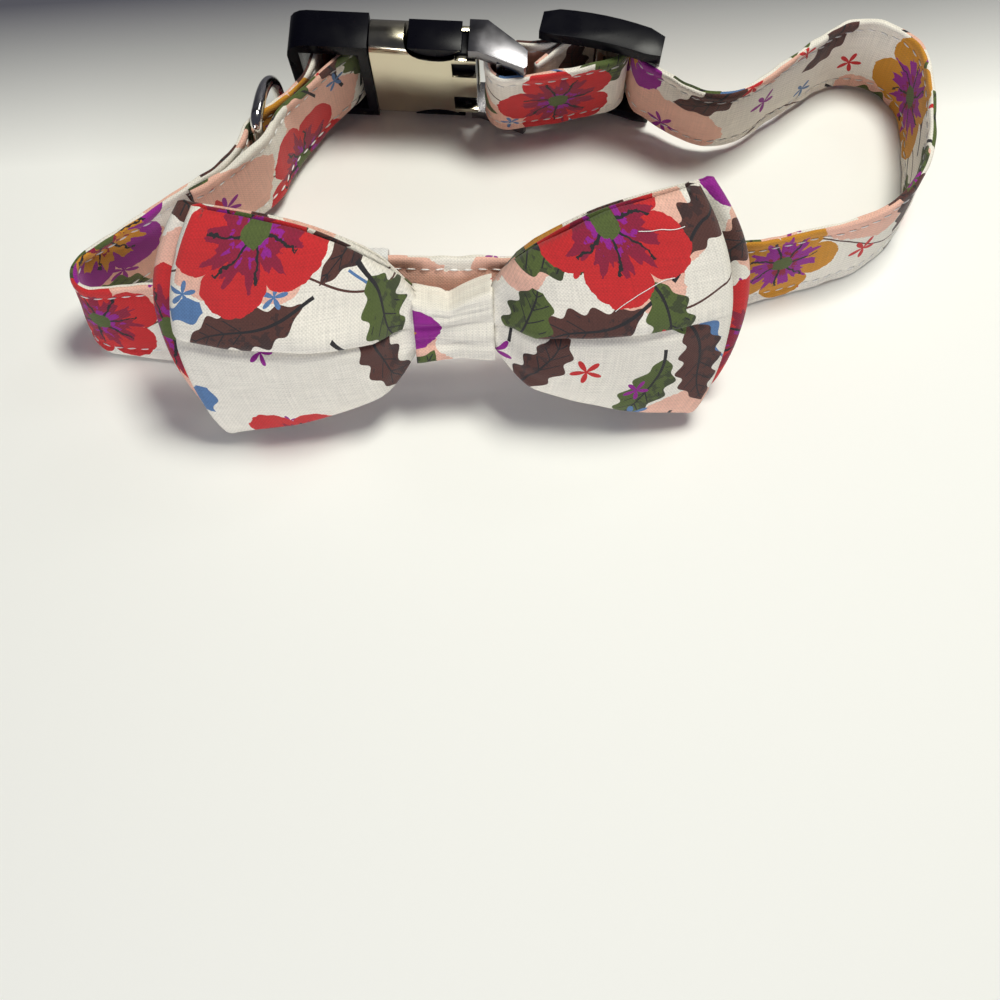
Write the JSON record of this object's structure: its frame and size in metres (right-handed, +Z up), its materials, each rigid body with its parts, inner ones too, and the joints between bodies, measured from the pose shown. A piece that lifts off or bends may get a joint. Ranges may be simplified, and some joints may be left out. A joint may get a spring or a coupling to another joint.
{
  "type": "pet bow tie collar",
  "caption": "Printed cotton pet collar as a closed adjustable loop, with side release buckle, slider, D-ring and a two-layer bow tie on the front.",
  "frame": {"origin": "middle of the collar's bounding box, on the surface it stands on", "axes": "+X along the length of the bow, -Y out of the bow's face towards the front, +Z up"},
  "size_m": [0.1732, 0.0886, 0.0477],
  "materials": {
    "printed_cotton": "matt plain-weave cotton, ivory with a many-coloured floral print",
    "elastic": "matt ribbed elastic, white",
    "chrome": "polished",
    "black_plastic": "satin to gloss"
  },
  "bodies": {
    "collar": {"strap": "printed_cotton", "bow_front": "printed_cotton", "bow_back": "printed_cotton", "bow_knot": "printed_cotton", "bow_keeper_left": "elastic", "bow_keeper_right": "elastic", "buckle_female_end": "black_plastic", "buckle_housing": "chrome", "buckle_prongs": "black_plastic", "buckle_male_frame": "chrome", "buckle_bar": "black_plastic", "slider_frame": "black_plastic", "slider_bar": "chrome"},
    "ring": {"d_ring": "chrome"}
  },
  "joints": [
    {"name": "ring_swing", "type": "hinge", "parent": "collar", "child": "ring", "pos_m": [-0.05077, 0.01345, 0.0132], "axis": [0, 0, 1], "range_deg": [0, 105]}
  ]
}
